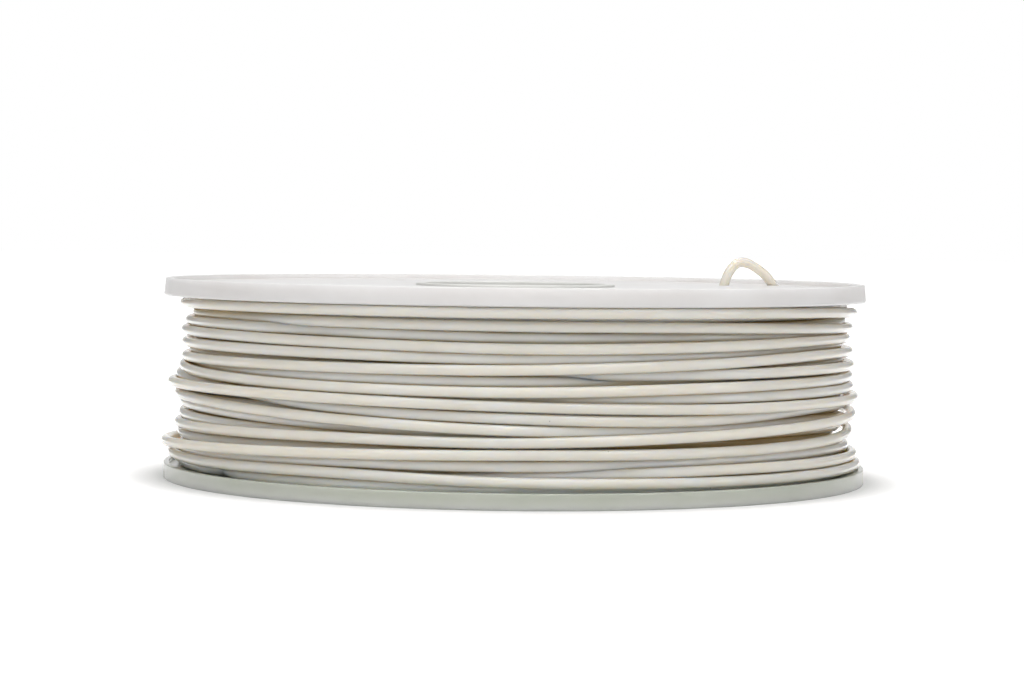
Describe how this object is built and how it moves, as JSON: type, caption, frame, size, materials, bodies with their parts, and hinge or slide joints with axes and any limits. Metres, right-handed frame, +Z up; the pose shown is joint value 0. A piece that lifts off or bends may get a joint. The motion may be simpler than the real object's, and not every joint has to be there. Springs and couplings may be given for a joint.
{
  "type": "filament spool",
  "caption": "Spool of 3D printer filament: translucent flanges clamp a spoked hub core and barrel, full of off-white filament whose end is tucked through the upper flange.",
  "frame": {"origin": "on the bore's axis, at the surface that the lower rim rests on", "axes": "+Z up along the bore's axis, from the lower flange to the upper one; +X to the right and -Y to the viewer in the pictured view"},
  "size_m": [0.2012, 0.2001, 0.0633],
  "materials": {
    "flange_glassy": "clear moulded plastic, smooth and glassy, faintly green-grey over the surface it lies on",
    "flange_milky": "frosted moulded plastic, milky white, soft gloss on the rim",
    "hub_plastic": "frosted moulded plastic",
    "filament": "extruded off-white plastic strand, satin, faintly translucent"
  },
  "bodies": {
    "root": {"lower_flange": "flange_glassy", "upper_flange": "flange_milky", "hub_core": "hub_plastic", "winding_barrel": "hub_plastic", "filament_core": "filament", "filament_outer_layer": "filament", "filament_end_loop": "filament", "filament_start_end": "filament"}
  },
  "joints": []
}
